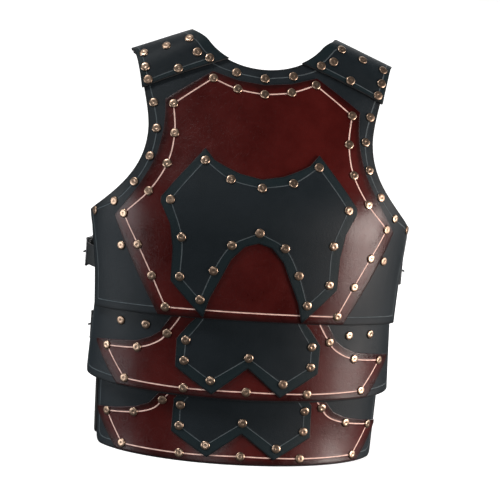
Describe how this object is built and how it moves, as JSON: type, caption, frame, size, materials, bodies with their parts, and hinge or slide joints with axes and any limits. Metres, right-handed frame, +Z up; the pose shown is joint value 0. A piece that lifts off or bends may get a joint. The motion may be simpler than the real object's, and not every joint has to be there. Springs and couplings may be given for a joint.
{
  "type": "leather cuirass",
  "caption": "Moulded leather cuirass with riveted two-colour overlays, capped shoulders, side buckles and sliding waist lames in front and at the back.",
  "frame": {"origin": "middle of the lower opening, level with the lower lame's hem", "axes": "+Z up along the torso, -Y to the wearer's front, +X to the viewer's right of the front"},
  "size_m": [0.4416, 0.2499, 0.5612],
  "materials": {
    "black_leather": "semi-matte dyed leather with fine grain",
    "oxblood_leather": "glossy waxed oxblood leather with darkened edges",
    "strap_leather": "matte strap leather",
    "rivets": "aged copper-coloured caps with a dimple",
    "buckle_steel": "blackened steel wire"
  },
  "bodies": {
    "front_plate": {"breastplate": "black_leather", "breast_overlay": "oxblood_leather", "breast_crest": "black_leather", "breast_rivets": "rivets", "shoulder_cap_left": "black_leather", "shoulder_cap_right": "black_leather", "cap_rivets_front": "rivets", "chest_strap_left": "strap_leather", "chest_strap_right": "strap_leather", "front_upper_hangers": "strap_leather"},
    "front_upper": {"upper_lame": "black_leather", "upper_lame_overlay": "oxblood_leather", "upper_lame_crest": "black_leather", "upper_lame_rivets": "rivets", "waist_strap_left": "strap_leather", "waist_strap_right": "strap_leather", "front_lower_hangers": "strap_leather"},
    "front_lower": {"lower_lame": "black_leather", "lower_lame_overlay": "oxblood_leather", "lower_lame_crest": "black_leather", "lower_lame_rivets": "rivets"},
    "back_plate": {"backplate": "black_leather", "back_overlay": "oxblood_leather", "back_rivets": "rivets", "cap_rivets_back": "rivets", "chest_chapes": "strap_leather", "chest_buckles": "buckle_steel", "chest_keepers": "strap_leather", "chest_chape_rivets": "rivets", "back_upper_hangers": "strap_leather"},
    "back_upper": {"back_upper_lame": "black_leather", "back_upper_overlay": "oxblood_leather", "back_upper_rivets": "rivets", "waist_chapes": "strap_leather", "waist_buckles": "buckle_steel", "waist_keepers": "strap_leather", "waist_chape_rivets": "rivets", "back_lower_hangers": "strap_leather"},
    "back_lower": {"back_lower_lame": "black_leather", "back_lower_overlay": "oxblood_leather", "back_lower_rivets": "rivets"},
    "prong_chest_left": {"chest_prong_left": "buckle_steel"},
    "prong_chest_right": {"chest_prong_right": "buckle_steel"},
    "prong_waist_left": {"waist_prong_left": "buckle_steel"},
    "prong_waist_right": {"waist_prong_right": "buckle_steel"}
  },
  "joints": [
    {"name": "back_open", "type": "hinge", "parent": "front_plate", "child": "back_plate", "pos_m": [0, 0, 0.553], "axis": [1, 0, 0], "range_deg": [0, 30], "deforming": ["shoulder_cap_left", "shoulder_cap_right", "chest_strap_left", "chest_strap_right", "waist_strap_left", "waist_strap_right"]},
    {"name": "front_upper_slide", "type": "slide", "parent": "front_plate", "child": "front_upper", "axis": [0, 0, 1], "range_m": [0, 0.018], "deforming": ["front_upper_hangers"]},
    {"name": "front_lower_slide", "type": "slide", "parent": "front_upper", "child": "front_lower", "axis": [0, 0, 1], "range_m": [0, 0.018], "deforming": ["front_lower_hangers"]},
    {"name": "back_upper_slide", "type": "slide", "parent": "back_plate", "child": "back_upper", "axis": [0, 0, 1], "range_m": [0, 0.018], "deforming": ["back_upper_hangers"]},
    {"name": "back_lower_slide", "type": "slide", "parent": "back_upper", "child": "back_lower", "axis": [0, 0, 1], "range_m": [0, 0.018], "deforming": ["back_lower_hangers"]},
    {"name": "chest_prong_left_swing", "type": "hinge", "parent": "back_plate", "child": "prong_chest_left", "pos_m": [-0.20879, 0.03326, 0.252], "axis": [0, 0, -1], "range_deg": [0, 60]},
    {"name": "waist_prong_left_swing", "type": "hinge", "parent": "back_upper", "child": "prong_waist_left", "pos_m": [-0.19305, 0.04118, 0.15], "axis": [0, 0, -1], "range_deg": [0, 60]},
    {"name": "chest_prong_right_swing", "type": "hinge", "parent": "back_plate", "child": "prong_chest_right", "pos_m": [0.20879, 0.03326, 0.252], "axis": [0, 0, 1], "range_deg": [0, 60]},
    {"name": "waist_prong_right_swing", "type": "hinge", "parent": "back_upper", "child": "prong_waist_right", "pos_m": [0.19305, 0.04118, 0.15], "axis": [0, 0, 1], "range_deg": [0, 60]}
  ],
  "couplings": [
    {"joint": "back_upper_slide", "follows": "front_upper_slide", "ratio": 1}
  ]
}
